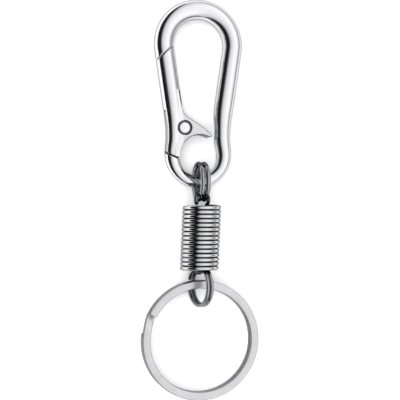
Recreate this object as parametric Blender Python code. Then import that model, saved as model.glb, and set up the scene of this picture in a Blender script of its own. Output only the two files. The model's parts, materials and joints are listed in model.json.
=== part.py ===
# Key chain: a spring-gate carabiner, a small split ring, an extension spring,
# a second small split ring and a flat key ring, laid out straight on a table.
# X is across the chain, +Y points to the carabiner's top and +Z is up from the table.
# The shapes are made about the links' middle plane, with y = 0 under the key ring.
# The carabiner and the key ring lie below that plane, each on the ring that it is threaded on.
# A last step moves the whole chain so that it stands on z = 0 with its middle at x = y = 0.

import math

import bpy
from mathutils import Matrix, Vector

mm = 0.001

# Clearances
seat_gap = 0.3 * mm
pin_gap = 0.12 * mm
turn_gap = 0.14 * mm

# Key ring: a flat band wound twice
key_ring_d = 30.0 * mm
key_band_width = 2.1 * mm
key_band_thick = 1.22 * mm
key_band_edge = 0.28 * mm
key_ring_end_deg = 152.0
key_ring_step_deg = 16.0

# Small split rings: round wire wound twice
upper_ring_d = 10.0 * mm
upper_wire_d = 1.2 * mm
lower_ring_d = 10.45 * mm
lower_wire_d = 0.95 * mm
upper_ring_turn_deg = 0.0
upper_ring_end_deg = 346.0
lower_ring_turn_deg = 14.4
lower_ring_end_deg = 350.0
link_step_deg = 22.0
ring_end_gap_deg = 4.0

# Extension spring: the wire is drawn thinner than the 1.0 mm real one, so that its turns stay apart
spring_outer_d = 9.5 * mm
spring_wire_d = 0.62 * mm
spring_pitch = 1.065 * mm
spring_turns = 14.75
spring_points_per_turn = 10
spring_lean_deg = 2.6
hook_plane_deg = 140.0
hook_arc_deg = 245.0
upper_hook_reach = 1.6 * mm
upper_hook_depth = 1.9 * mm
upper_hook_run = 1.4 * mm
lower_hook_reach = -0.03 * mm
lower_hook_depth = 1.45 * mm
lower_hook_run = 2.6 * mm
lower_hook_lead_deg = 90.0
hook_rise = 1.2 * mm
hook_steps = 12
hook_bend_steps = 7

# Slack in the chain as it lies
key_ring_slack = 3.45 * mm
carabiner_slack = 2.3 * mm
upper_ring_x = 0.3 * mm
lower_ring_x = 0.1 * mm
spring_x = 0.15 * mm
carabiner_x = 0.08 * mm
key_ring_x = 0.65 * mm

# Carabiner: a rod bent to a pear with a small eye at the foot
carabiner_length = 47.0 * mm
rod_d = 4.9 * mm
rod_depth = 4.7 * mm
bow_radius = 8.85 * mm
leg_taper_deg = 8.5
waist_half_width = 6.2 * mm
waist_height = 12.8 * mm
waist_rod_d = 4.1 * mm
waist_bend = 0.4
eye_radius = 6.65 * mm
eye_height = 8.1 * mm
eye_rod_d = 3.8 * mm
foot_rod_d = 3.0 * mm
leg_blend_height = 21.5 * mm

# Gate: its joints with the frame, its pivot and its finger
pivot_x = -3.93 * mm
pivot_y = 14.85 * mm
tail_joint_r = 7.6 * mm
nose_joint_height = 33.6 * mm
nose_joint_deg = 42.0
nose_cut_reach = 8.0 * mm
gate_end_deg = 205.0
tail_cut_deg = (-160.0, -75.0)
gate_eye_radius = 5.0 * mm
gate_eye_height = 8.2 * mm
gate_open_deg = 22.0
cheek_thick = 4.0 * mm
cheek_edge = 0.35 * mm

# Finger: its root on the leg, the brow above the pin and the tip over the eye
finger_root_rise = 6.65 * mm
finger_root_bend = 2.2 * mm
finger_brow_in = 0.7 * mm
finger_brow_rise = 2.8 * mm
finger_brow_deg = -30.0
finger_brow_bend = 1.3 * mm
finger_slope_bend = 2.4 * mm
finger_fall_deg = -50.0
finger_tip_bend = 1.6 * mm
finger_tip_gap = 1.5 * mm
finger_tip_drop = 1.9 * mm
finger_tip_r = 0.3 * mm
finger_tip_deg = 35.0
finger_tip_inset = 0.66 * mm
web_end_deg = 195.0

# Relief in the frame's leg beside the finger's tip
relief_depth = 0.45 * mm
relief_length = 6.4 * mm

# Frame's tongue, which the gate turns on
tongue_thick = 1.4 * mm
tongue_pivot_r = 2.0 * mm
tongue_top = 18.85 * mm
tongue_strip = 2.3 * mm
tongue_neck_deg = -62.0
tongue_strip_deg = 112.0
tongue_foot_in = 1.27 * mm
tongue_foot_drop = 0.95 * mm
slot_side_gap = 0.25 * mm
slot_neck_room_deg = 4.0
slot_top_deg = 100.0

# Pivot pin, with a low head in a round recess at each end
pin_d = 1.5 * mm
pin_head_d = 2.6 * mm
pin_head_thick = 0.35 * mm
pin_head_edge = 0.1 * mm
pin_recess_d = 3.56 * mm
pin_recess_depth = 0.45 * mm

# Gate's return spring, hidden round the pin
return_wire_d = 0.3 * mm
return_coil_d = 2.4 * mm
return_pitch = 0.38 * mm
return_turns = 1.5
return_points_per_turn = 12
return_gap = 0.1 * mm
return_leg = 0.25 * mm

# Fineness of the meshes
rod_sides = 16
ring_sides = 8
round_sides = 32
wide_round_sides = 60
key_ring_steps = 48
link_steps = 28
step_rows = 6
leg_steps = 7
bow_steps = 18
eye_steps = 16
blend_steps = 6
disc_steps = 16
relief_steps = 10

# Sizes worked out from those above
key_ring_r = key_ring_d / 2
pivot = Vector((pivot_x, pivot_y, 0.0))
bow_height = carabiner_length - rod_d / 2 - bow_radius
leg_taper = math.radians(leg_taper_deg)
leg_top = Vector((bow_radius * math.cos(leg_taper), bow_height - bow_radius * math.sin(leg_taper), 0.0))


def clear_scene():
    for old in list(bpy.data.objects):
        bpy.data.objects.remove(old, do_unlink=True)


def make_material(name, colour, roughness, metallic=1.0):
    material = bpy.data.materials.new(name)
    material.use_nodes = True
    shader = material.node_tree.nodes["Principled BSDF"]
    shader.inputs["Base Color"].default_value = (*colour, 1.0)
    shader.inputs["Roughness"].default_value = roughness
    shader.inputs["Metallic"].default_value = metallic
    return material


def make_object(name, points, faces, material, origin):
    mesh = bpy.data.meshes.new(name)
    mesh.from_pydata([Vector(p) - origin for p in points], [], faces)
    mesh.validate()
    mesh.update()
    mesh.shade_smooth()
    mesh.set_sharp_from_angle(angle=math.radians(35))
    if material:
        mesh.materials.append(material)
    piece = bpy.data.objects.new(name, mesh)
    piece.location = origin
    bpy.context.collection.objects.link(piece)
    return piece


def make_cutter(cutter):
    cutter.hide_render = True
    cutter.display_type = "WIRE"
    return cutter


def join_shape(piece, other, operation):
    step = piece.modifiers.new(operation.title() + " " + other.name, "BOOLEAN")
    step.operation = operation
    step.solver = "EXACT"
    step.object = make_cutter(other)


def loft(sections):
    # Skin a row of sections, each a loop of points, and cap the two ends
    sides = len(sections[0])
    points = [p for section in sections for p in section]
    faces = []
    for row in range(len(sections) - 1):
        a = row * sides
        b = a + sides
        for k in range(sides):
            n = (k + 1) % sides
            faces.append((a + k, b + k, b + n, a + n))
    faces.append(tuple(range(sides)))
    last = (len(sections) - 1) * sides
    faces.append(tuple(last + k for k in reversed(range(sides))))
    return points, faces


def extrude_outline(name, outline, half_depth, origin, material=None):
    # A plate with the given outline, counter-clockwise, from -half_depth to +half_depth
    count = len(outline)
    points = [Vector((p[0], p[1], -half_depth)) for p in outline]
    points += [Vector((p[0], p[1], half_depth)) for p in outline]
    faces = [tuple(reversed(range(count))), tuple(range(count, 2 * count))]
    for k in range(count):
        n = (k + 1) % count
        faces.append((k, n, count + n, count + k))
    return make_object(name, points, faces, material, origin)


def arc(centre, radius, start_deg, end_deg, steps):
    middle = Vector((centre[0], centre[1], 0.0))
    return [middle + radius * heading(angle) for angle in spread(start_deg, end_deg, steps)]


def circle(centre, radius, sides):
    return arc(centre, radius, 0.0, 360.0 * (sides - 1) / sides, sides - 1)


def heading(angle_deg):
    angle = math.radians(angle_deg)
    return Vector((math.cos(angle), math.sin(angle), 0.0))


def bezier(p0, p1, p2, p3, steps):
    found = []
    for k in range(steps + 1):
        t = k / steps
        u = 1 - t
        found.append(u**3 * p0 + 3 * u * u * t * p1 + 3 * u * t * t * p2 + t**3 * p3)
    return found


def smooth_step(t):
    t = min(max(t, 0.0), 1.0)
    return t * t * (3 - 2 * t)


def mix(a, b, t):
    return a + (b - a) * t


def spread(low, high, steps):
    return [mix(low, high, k / steps) for k in range(steps + 1)]


# Carabiner rod

def leg_x(y):
    # Centre line of the straight leg at a height
    return leg_top.x - (leg_top.y - y) * math.tan(leg_taper)


def rod_width(y):
    # The rod's width and depth at a height: thin at the foot, full in the legs
    if y < eye_height:
        t = smooth_step((y - foot_rod_d / 2) / (eye_height - foot_rod_d / 2))
        return mix(foot_rod_d, eye_rod_d, t), mix(foot_rod_d, eye_rod_d, t)
    if y < waist_height:
        t = smooth_step((y - eye_height) / (waist_height - eye_height))
        return mix(eye_rod_d, waist_rod_d, t), mix(eye_rod_d, waist_rod_d, t)
    t = smooth_step((y - waist_height) / (leg_blend_height - waist_height))
    return mix(waist_rod_d, rod_d, t), mix(waist_rod_d, rod_depth, t)


def side_path(side):
    # Centre line from the eye's side up to the bow, on the right (side 1) or left (side -1)
    up = Vector((0.0, 1.0, 0.0))
    eye = Vector((eye_radius, eye_height, 0.0))
    waist = Vector((waist_half_width, waist_height, 0.0))
    blend = Vector((leg_x(leg_blend_height), leg_blend_height, 0.0))
    slope = Vector((math.sin(leg_taper), math.cos(leg_taper), 0.0))
    lower = (waist_height - eye_height) * waist_bend
    upper = (leg_blend_height - waist_height) * waist_bend
    path = bezier(eye, eye + lower * up, waist - lower * up, waist, blend_steps)
    path += bezier(waist, waist + upper * up, blend - upper * slope, blend, blend_steps)[1:]
    path += [blend.lerp(leg_top, k / leg_steps) for k in range(1, leg_steps + 1)]
    return [Vector((side * p.x, p.y, 0.0)) for p in path]


def rod(name, path, material, origin):
    # Sweep the rod's oval section along a centre line in the chain's plane
    sections = []
    across = Vector((0.0, 0.0, 1.0))
    for k, centre in enumerate(path):
        ahead = path[min(k + 1, len(path) - 1)] - path[max(k - 1, 0)]
        side = ahead.normalized().cross(across)
        width, depth = rod_width(centre.y)
        section = []
        for n in range(rod_sides):
            angle = 2 * math.pi * n / rod_sides
            section.append(
                centre + side * (width / 2 * math.cos(angle)) + across * (depth / 2 * math.sin(angle))
            )
        sections.append(section)
    points, faces = loft(sections)
    return make_object(name, points, faces, material, origin)


def nose_half(name, side, origin):
    # A wedge that fills one side of the slanted joint between nose and gate
    along = heading(nose_joint_deg)
    across = Vector((-along.y, along.x, 0.0)) * side
    centre = Vector((-leg_x(nose_joint_height), nose_joint_height, 0.0)) - across * (seat_gap / 2)
    corners = [
        centre - along * nose_cut_reach,
        centre + along * nose_cut_reach,
        centre + along * nose_cut_reach + across * nose_cut_reach,
        centre - along * nose_cut_reach + across * nose_cut_reach,
    ]
    if side < 0:
        corners.reverse()
    return extrude_outline(name, corners, rod_depth, origin)


def left_edge(y):
    # Outer side of the left leg at a height
    path = side_path(-1)
    for a, b in zip(path, path[1:]):
        if a.y <= y <= b.y:
            x = mix(a.x, b.x, (y - a.y) / (b.y - a.y))
            return x - rod_width(y)[0] / 2
    return -eye_radius - eye_rod_d / 2


def tongue_foot():
    # Where the tongue's inner edge meets the eye's wall
    return Vector((-eye_radius + tongue_foot_in, eye_height - tongue_foot_drop, 0.0))


def tongue_outline():
    # From the shoulder up the outer side, across the top and round the pin
    rise = [Vector((left_edge(y), y, 0.0)) for y in spread(eye_height, tongue_top, blend_steps)]
    rise.reverse()
    strip_x = left_edge(tongue_top) + tongue_strip
    root = Vector((-eye_radius, eye_height - eye_rod_d / 2, 0.0))
    disc = arc(pivot, tongue_pivot_r, tongue_neck_deg, tongue_strip_deg, disc_steps)
    strip_foot = Vector((strip_x, pivot.y + tongue_pivot_r, 0.0))
    strip_top = Vector((strip_x, tongue_top, 0.0))
    return [root, tongue_foot()] + disc + [strip_foot, strip_top] + rise


def return_spring_z():
    # Underside of the return spring, whose top stays just clear of the slot's upper wall
    height = return_pitch * return_turns + return_wire_d
    top = tongue_thick / 2 + slot_side_gap - return_gap
    return top - height


def make_frame(material, origin):
    sweep_left = [Vector((-p.x, p.y, 0.0)) for p in reversed(side_path(1)[:4])]
    eye = arc((0.0, eye_height), eye_radius, 180, 360, eye_steps)
    bow = arc((0.0, bow_height), bow_radius, -leg_taper_deg, 180 + leg_taper_deg, bow_steps)
    nose_end = Vector((-leg_x(nose_joint_height - rod_d), nose_joint_height - rod_d, 0.0))
    path = sweep_left[:-1] + eye + side_path(1)[1:] + bow[1:] + [nose_end]
    frame = rod("carabiner_frame", path, material, origin)

    # The foot makes room for the gate's tail, which turns about the pivot
    tail_room = tail_joint_r + seat_gap / 2
    room = extrude_outline("tail_room", circle(pivot, tail_room, wide_round_sides), rod_depth, origin)
    join_shape(frame, room, "DIFFERENCE")
    join_shape(frame, nose_half("nose_cut", -1, origin), "DIFFERENCE")

    # Shallow relief beside the finger's tip
    leg_inner = waist_half_width - waist_rod_d / 2
    half = relief_length / 2
    radius = (half * half + relief_depth * relief_depth) / (2 * relief_depth)
    bottom_x = leg_inner + relief_depth
    spread_deg = math.degrees(math.asin(half / radius))
    scoop = arc((bottom_x - radius, pivot.y), radius, -spread_deg, spread_deg, relief_steps)
    scoop.append(Vector((leg_inner - rod_d / 2, pivot.y + half, 0.0)))
    scoop.append(Vector((leg_inner - rod_d / 2, pivot.y - half, 0.0)))
    join_shape(frame, extrude_outline("tip_relief", scoop, rod_depth, origin), "DIFFERENCE")

    # Tongue with its pin hole and the return spring's pocket
    tongue = extrude_outline("tongue", tongue_outline(), tongue_thick / 2, origin)
    join_shape(frame, tongue, "UNION")
    pin_room = circle(pivot, pin_d / 2 + pin_gap, round_sides)
    hole = extrude_outline("tongue_hole", pin_room, tongue_thick, origin)
    join_shape(frame, hole, "DIFFERENCE")
    pocket_r = return_coil_d / 2 + return_wire_d / 2 + return_gap * 2
    floor = return_spring_z() - return_gap
    lift = Vector((0.0, 0.0, floor + tongue_thick))
    pocket = extrude_outline("spring_pocket", circle(pivot, pocket_r, round_sides), tongue_thick, origin)
    pocket.location = origin + lift
    join_shape(frame, pocket, "DIFFERENCE")
    half_channel = return_wire_d / 2 + return_gap * 2
    left = pivot.x - return_coil_d / 2
    right = pivot.x + return_coil_d / 2
    up_channel = box_outline(left - half_channel, pivot.y, left + half_channel, tongue_top + seat_gap)
    upper = extrude_outline("upper_channel", up_channel, tongue_thick, origin)
    upper.location = origin + lift
    join_shape(frame, upper, "DIFFERENCE")
    low = pivot.y - tongue_pivot_r - seat_gap
    down_channel = box_outline(right - half_channel, low, right + half_channel, pivot.y)
    lower = extrude_outline("lower_channel", down_channel, tongue_thick, origin)
    lower.location = origin + lift
    join_shape(frame, lower, "DIFFERENCE")
    return frame


def box_outline(x0, y0, x1, y1):
    return [Vector((x0, y0, 0.0)), Vector((x1, y0, 0.0)), Vector((x1, y1, 0.0)), Vector((x0, y1, 0.0))]


def finger_outline():
    # The web behind the pin and the pointed finger, from the leg's inner side to the tip
    tip_x = waist_half_width - waist_rod_d / 2 + relief_depth - finger_tip_gap
    eye = (0.0, gate_eye_height)
    under_deg = math.degrees(math.acos((tip_x - finger_tip_inset) / gate_eye_radius))
    tip = Vector((tip_x - finger_tip_r, pivot.y - finger_tip_drop, 0.0))
    end = tip + finger_tip_r * heading(finger_tip_deg)
    root = pivot.y + finger_root_rise
    leg_inner = Vector((-leg_x(root) + rod_d / 2, root, 0.0))
    brow = pivot + Vector((finger_brow_in, finger_brow_rise, 0.0))
    down_leg = leg_inner + finger_root_bend * heading(leg_taper_deg - 90.0)
    before_brow = brow - finger_brow_bend * heading(finger_brow_deg)
    after_brow = brow + finger_slope_bend * heading(finger_brow_deg)
    before_tip = end - finger_tip_bend * heading(finger_fall_deg)
    upper = bezier(leg_inner, down_leg, before_brow, brow, blend_steps)
    upper += bezier(brow, after_brow, before_tip, end, blend_steps)[1:]
    nose = arc(tip, finger_tip_r, 10.0, -70.0, 3)
    under = arc(eye, gate_eye_radius, under_deg, web_end_deg, eye_steps * 3 // 2)
    inside = [
        Vector((-eye_radius, eye_height - eye_rod_d / 2, 0.0)),
        Vector((-waist_half_width, waist_height, 0.0)),
        Vector((-leg_x(root), root, 0.0)),
    ]
    outline = upper + nose + under + inside
    outline.reverse()
    return outline


def slot_outline():
    # Room for the tongue: open to the outer side and to the eye, closed behind the pin and above,
    # and wide enough at its lower end for the gate to open
    right = pivot.x - return_coil_d / 2 + return_wire_d / 2 + return_gap * 2
    top = tongue_top + seat_gap
    far = -waist_half_width - rod_d
    neck_deg = tongue_neck_deg + gate_open_deg + slot_neck_room_deg
    around = arc(pivot, tongue_pivot_r + seat_gap, neck_deg, slot_top_deg, disc_steps)
    opened = Matrix.Rotation(math.radians(gate_open_deg), 3, "Z") @ (tongue_foot() - pivot) + pivot
    low = eye_height - eye_rod_d
    return [
        Vector((far, top, 0.0)),
        Vector((far, low, 0.0)),
        Vector((opened.x + seat_gap, low, 0.0)),
        Vector((opened.x + seat_gap, opened.y, 0.0)),
    ] + around + [
        Vector((right, pivot.y + tongue_pivot_r + seat_gap, 0.0)),
        Vector((right, top, 0.0)),
    ]


def make_gate(material, origin):
    joint = nose_joint_height + rod_d
    top = Vector((-leg_x(joint), joint, 0.0))
    upper = [p for p in side_path(-1) if p.y < nose_joint_height - rod_d / 2]
    eye = arc((0.0, eye_height), eye_radius, gate_end_deg, 180.0, 4)
    gate = rod("gate_lever", eye[:-1] + upper + [top], material, origin)
    web = extrude_outline("finger_web", finger_outline(), cheek_thick / 2, origin)
    bevel = web.modifiers.new("Edge", "BEVEL")
    bevel.width = cheek_edge
    bevel.segments = 2
    bevel.limit_method = "ANGLE"
    bevel.angle_limit = math.radians(60)
    join_shape(gate, web, "UNION")

    # The eye's inner wall, the tail's round end and the slanted tip
    eye_circle = circle((0.0, gate_eye_height), gate_eye_radius, wide_round_sides)
    eye_room = extrude_outline("eye_room", eye_circle, rod_depth, origin)
    join_shape(gate, eye_room, "DIFFERENCE")
    tail = arc(pivot, tail_joint_r - seat_gap / 2, tail_cut_deg[0], tail_cut_deg[1], eye_steps)
    tail += arc(pivot, tail_joint_r + rod_d, tail_cut_deg[1], tail_cut_deg[0], eye_steps)
    tail.reverse()
    join_shape(gate, extrude_outline("tail_cut", tail, rod_depth, origin), "DIFFERENCE")
    join_shape(gate, nose_half("tip_cut", 1, origin), "DIFFERENCE")

    slot_half = tongue_thick / 2 + slot_side_gap
    slot = slot_outline()
    join_shape(gate, extrude_outline("tongue_slot", slot, slot_half, origin), "DIFFERENCE")
    pin_room = circle(pivot, pin_d / 2 + pin_gap, round_sides)
    bore = extrude_outline("pin_bore", pin_room, rod_depth, origin)
    join_shape(gate, bore, "DIFFERENCE")
    for side in (1, -1):
        ring = circle(pivot, pin_recess_d / 2, round_sides)
        recess = extrude_outline(f"pin_recess_{side}", ring, pin_recess_depth, origin)
        recess.location = origin + Vector((0.0, 0.0, side * cheek_thick / 2))
        join_shape(gate, recess, "DIFFERENCE")

    # Small hole above the slot that takes the return spring's upper leg
    leg_x_pos = pivot.x - return_coil_d / 2
    half = return_wire_d / 2 + return_gap
    leg_hole = box_outline(leg_x_pos - half, tongue_top, leg_x_pos + half, tongue_top + 3 * seat_gap)
    seat = extrude_outline("leg_seat", leg_hole, half, origin)
    seat.location = origin + Vector((0.0, 0.0, upper_leg_z()))
    join_shape(gate, seat, "DIFFERENCE")
    return gate


def upper_leg_z():
    return return_spring_z() + return_wire_d / 2 + return_pitch * return_turns


def turned(name, profile, material, origin):
    # A solid of revolution about the Z axis through origin, from (radius, height) pairs
    sections = []
    for radius, height in profile:
        loop = []
        for k in range(round_sides):
            angle = 2 * math.pi * k / round_sides
            loop.append(origin + Vector((radius * math.cos(angle), radius * math.sin(angle), height)))
        sections.append(loop)
    points, faces = loft(sections)
    return make_object(name, points, faces, material, origin)


def make_pin(material, origin):
    seat = cheek_thick / 2 - pin_recess_depth + seat_gap / 2
    top = seat + pin_head_thick
    half = [
        (pin_head_d / 2 - pin_head_edge, top),
        (pin_head_d / 2, top - pin_head_edge),
        (pin_head_d / 2, seat),
        (pin_d / 2, seat),
    ]
    profile = half + [(radius, -height) for radius, height in reversed(half)]
    return turned("pivot_pin", profile, material, origin)


def wire(name, points, diameter, material, origin):
    # A round wire along a row of points, with flat ends
    curve = bpy.data.curves.new(name, "CURVE")
    curve.dimensions = "3D"
    curve.bevel_depth = diameter / 2
    curve.bevel_resolution = 1
    curve.use_fill_caps = True
    spline = curve.splines.new("POLY")
    spline.points.add(len(points) - 1)
    for slot, point in zip(spline.points, points):
        slot.co = (*(point - origin), 1.0)
        slot.tilt = 0.0
    curve.materials.append(material)
    piece = bpy.data.objects.new(name, curve)
    piece.location = origin
    bpy.context.collection.objects.link(piece)
    return piece


def make_return_spring(material, origin):
    # Lower leg in the tongue, a turn and a half round the pin, upper leg into the gate
    radius = return_coil_d / 2
    low_z = return_spring_z() + return_wire_d / 2
    points = [origin + Vector((radius, -tongue_pivot_r + return_leg, low_z))]
    count = int(return_turns * return_points_per_turn)
    for k in range(count + 1):
        angle = 2 * math.pi * return_turns * k / count
        height = low_z + return_pitch * return_turns * k / count
        points.append(origin + Vector((radius * math.cos(angle), radius * math.sin(angle), height)))
    top_y = tongue_top + seat_gap + return_leg - origin.y
    points.append(origin + Vector((-radius, top_y, upper_leg_z())))
    return wire("gate_return_spring", points, return_wire_d, material, origin)


# Split rings

def band_section(width, thick, edge):
    # Rounded rectangle, (radial, axial) pairs, counter-clockwise
    x = width / 2
    y = thick / 2
    return [
        (x, -y + edge), (x, y - edge), (x - edge, y), (-x + edge, y),
        (-x, y - edge), (-x, -y + edge), (-x + edge, -y), (x - edge, -y),
    ]


def wire_section(diameter):
    found = []
    for k in range(ring_sides):
        angle = 2 * math.pi * (k + 0.5) / ring_sides
        found.append((diameter / 2 * math.cos(angle), diameter / 2 * math.sin(angle)))
    return found


def split_ring(name, section, mean_r, layer, end_deg, step_deg, steps_per_turn, frame, material, origin):
    # A band wound twice: the front turn starts at end_deg and runs clockwise, then steps to the back
    total = 720.0 - step_deg - ring_end_gap_deg
    angles = [360.0 * k / steps_per_turn for k in range(int(total / 360.0 * steps_per_turn) + 1)]
    angles += [360.0 - step_deg * k / step_rows for k in range(step_rows + 1)]
    angles = sorted(set(round(a, 4) for a in angles + [total]))
    sections = []
    for turn in angles:
        shift = smooth_step((turn - 360.0 + step_deg) / step_deg)
        height = layer / 2 * (1 - 2 * shift)
        angle = math.radians(end_deg - turn)
        radial = Vector((math.cos(angle), math.sin(angle), 0.0))
        loop = []
        for out, up in reversed(section):
            local = radial * (mean_r + out) + Vector((0.0, 0.0, height + up))
            loop.append(origin + frame @ local)
        sections.append(loop)
    points, faces = loft(sections)
    return make_object(name, points, faces, material, origin)


def ring_frame(turn_deg):
    # Stands a ring on edge along the chain, turned about the chain's line
    stand = Matrix.Rotation(math.radians(90), 3, "Y")
    return Matrix.Rotation(math.radians(turn_deg), 3, "Y") @ stand


def make_key_ring(material, centre):
    section = band_section(key_band_width, key_band_thick, key_band_edge)
    mean_r = key_ring_r - key_band_width / 2
    layer = key_band_thick + turn_gap
    return split_ring(
        "key_ring", section, mean_r, layer, key_ring_end_deg, key_ring_step_deg, key_ring_steps,
        Matrix.Identity(3), material, centre,
    )


def make_link(name, diameter, wire_d, turn_deg, end_deg, material, centre):
    mean_r = (diameter - wire_d) / 2
    layer = wire_d + turn_gap
    return split_ring(
        name, wire_section(wire_d), mean_r, layer, end_deg, link_step_deg, link_steps,
        ring_frame(turn_deg), material, centre,
    )


# Extension spring

def around(angle_deg):
    angle = math.radians(angle_deg)
    return Vector((math.sin(angle), 0.0, math.cos(angle)))


def hook_points(end, onward, centre, side, lift, loop_r, loop_depth):
    # From the coil's end, which heads onward, to an eye that stands on the coil's axis
    start = centre + side * loop_r
    points = bezier(end, end + onward, start - lift * hook_rise, start, hook_bend_steps)[1:]
    for k in range(1, hook_steps + 1):
        angle = math.radians(hook_arc_deg) * k / hook_steps
        points.append(centre + loop_r * math.cos(angle) * side + loop_depth * math.sin(angle) * lift)
    last = (points[-1] - points[-2]).normalized()
    points.append(points[-1] + last * spring_wire_d)
    return points


def hook_radius(wire_d, off_centre, plane_deg):
    # Radius of a hook's eye that clears both sides of the split ring's two turns
    half_width = wire_d + turn_gap / 2 + abs(off_centre)
    return (half_width + (seat_gap + spring_wire_d) / 2) / abs(math.sin(math.radians(plane_deg)))


def spring_points(middle, upper_eye, upper_loop_r, lower_eye, lower_loop_r):
    # Lower hook, coil and upper hook as one row of points, before the spring leans
    coil_r = (spring_outer_d - spring_wire_d) / 2
    length = spring_pitch * spring_turns
    count = int(spring_turns * spring_points_per_turn)
    first = hook_plane_deg - 360.0 * spring_turns
    coil = []
    for k in range(count + 1):
        t = k / count
        height = middle.y - length / 2 + length * t
        coil.append(Vector((middle.x, height, middle.z)) + coil_r * around(first + 360.0 * spring_turns * t))
    up = Vector((0.0, 1.0, 0.0))
    onward = upper_hook_run * around(hook_plane_deg + 90)
    eye = Vector((middle.x, upper_eye, middle.z))
    side = around(hook_plane_deg)
    top = hook_points(coil[-1], onward, eye, side, up, upper_loop_r, upper_hook_depth)
    onward = lower_hook_run * around(first - 90)
    eye = Vector((middle.x, lower_eye, middle.z))
    side = around(first - lower_hook_lead_deg)
    low = hook_points(coil[0], onward, eye, side, -up, lower_loop_r, lower_hook_depth)
    low.reverse()
    return low + coil + top


def least_gap(points, diameter):
    # Smallest space between two stretches of the wire that aren't neighbours along it
    along = [0.0]
    for a, b in zip(points, points[1:]):
        along.append(along[-1] + (b - a).length)
    least = math.inf
    for i, a in enumerate(points):
        for j in range(i + 1, len(points)):
            if along[j] - along[i] > 4 * diameter:
                least = min(least, (points[j] - a).length)
    return least - diameter


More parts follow.
